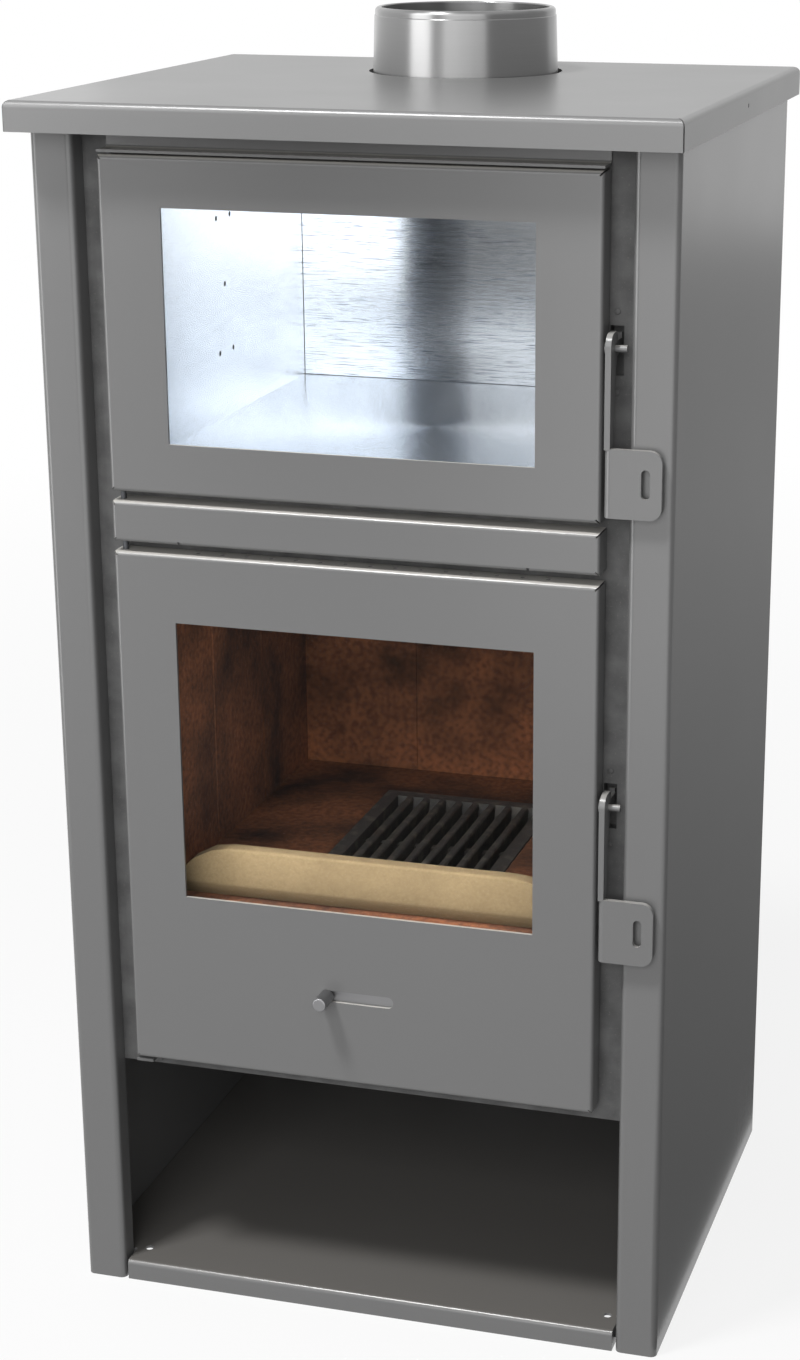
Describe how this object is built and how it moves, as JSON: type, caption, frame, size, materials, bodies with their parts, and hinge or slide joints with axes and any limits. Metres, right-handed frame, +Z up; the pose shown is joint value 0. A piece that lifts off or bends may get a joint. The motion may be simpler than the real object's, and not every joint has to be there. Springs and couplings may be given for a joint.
{
  "type": "wood cookstove",
  "caption": "Free-standing wood cookstove: folded-sheet body, glazed oven above a glazed firebox, open log store below, flat top plate with a flue collar at the back.",
  "frame": {"origin": "bottom centre of the whole stove's bounding box, on the floor", "axes": "+Z up; the doors face -Y; +X is the viewer's right when facing the doors"},
  "size_m": [0.494, 0.448, 1.0007],
  "materials": {
    "body_paint": "satin grey heat-resistant paint",
    "top_paint": "satin grey heat-resistant paint, a little lighter",
    "frame_paint": "matt dark grey heat-resistant paint",
    "lever_paint": "satin grey powder coat on cut plate",
    "collar_paint": "satin metallic grey heat-resistant paint",
    "dark_steel": "hot-rolled steel with its mill scale",
    "bright_steel": "brushed",
    "turned_steel": "turned steel, satin",
    "door_glass": "clear heat-resistant glass",
    "seal_rope": "braided glass-fibre rope",
    "firebrick": "pressed brick, sooty",
    "vermiculite": "pressed board, matt",
    "grate_iron": "as cast"
  },
  "bodies": {
    "stove_body": {"left_side_panel": "body_paint", "right_side_panel": "body_paint", "top_plate": "top_paint", "top_plate_screw_left": "dark_steel", "top_plate_screw_right": "dark_steel", "back_panel": "dark_steel", "back_screw_lower_left": "bright_steel", "back_screw_upper_left": "bright_steel", "back_screw_lower_right": "bright_steel", "back_screw_upper_right": "bright_steel", "flue_collar": "collar_paint", "face_frame": "frame_paint", "upper_hinge_rail": "body_paint", "middle_fascia": "body_paint", "lower_hinge_tab": "frame_paint", "upper_latch_pocket": "frame_paint", "lower_latch_pocket": "frame_paint", "log_tray": "body_paint", "heat_shield": "frame_paint", "support_rail_left": "frame_paint", "support_rail_right": "frame_paint", "case_wrap": "dark_steel", "case_top_plate": "dark_steel", "case_floor": "dark_steel", "oven_liner": "bright_steel", "oven_back_plate": "bright_steel", "grate_plate": "dark_steel", "hearth_brick": "firebrick", "side_brick_left": "firebrick", "side_brick_right": "firebrick", "back_brick": "firebrick", "fire_grate": "grate_iron", "log_guard": "vermiculite", "smoke_baffle": "vermiculite", "ash_pan": "dark_steel"},
    "oven_door": {"oven_door_panel": "body_paint", "oven_door_glass": "door_glass", "oven_glass_retainer_top": "frame_paint", "oven_glass_retainer_bottom": "frame_paint", "oven_door_inner_frame": "frame_paint", "oven_door_seal": "seal_rope", "oven_hinge_pin_upper": "dark_steel", "oven_hinge_pin_lower": "dark_steel", "oven_latch_pivot": "lever_paint"},
    "oven_lever": {"oven_latch_lever": "lever_paint"},
    "fire_door": {"fire_door_panel": "body_paint", "fire_door_glass": "door_glass", "fire_glass_retainer_top": "frame_paint", "fire_glass_retainer_bottom": "frame_paint", "fire_door_inner_frame": "frame_paint", "fire_door_seal": "seal_rope", "fire_hinge_pin_upper": "dark_steel", "fire_hinge_pin_lower": "dark_steel", "fire_latch_pivot": "lever_paint", "air_register": "frame_paint"},
    "fire_lever": {"fire_latch_lever": "lever_paint"},
    "air_slider": {"air_slider_plate": "turned_steel", "air_slider_knob": "turned_steel"}
  },
  "joints": [
    {"name": "oven_door_hinge", "type": "hinge", "parent": "stove_body", "child": "oven_door", "pos_m": [-0.181, -0.1902, 0.78955], "axis": [0, 0, -1], "range_deg": [0, 115]},
    {"name": "oven_latch_turn", "type": "hinge", "parent": "oven_door", "child": "oven_lever", "pos_m": [0.1925, -0.1915, 0.7907], "axis": [-1, 0, 0], "range_deg": [0, 35]},
    {"name": "fire_door_hinge", "type": "hinge", "parent": "stove_body", "child": "fire_door", "pos_m": [-0.181, -0.1902, 0.41265], "axis": [0, 0, -1], "range_deg": [0, 115]},
    {"name": "fire_latch_turn", "type": "hinge", "parent": "fire_door", "child": "fire_lever", "pos_m": [0.1925, -0.1915, 0.4515], "axis": [-1, 0, 0], "range_deg": [0, 35]},
    {"name": "air_slide", "type": "slide", "parent": "fire_door", "child": "air_slider", "axis": [1, 0, 0], "range_m": [0, 0.0496]}
  ]
}
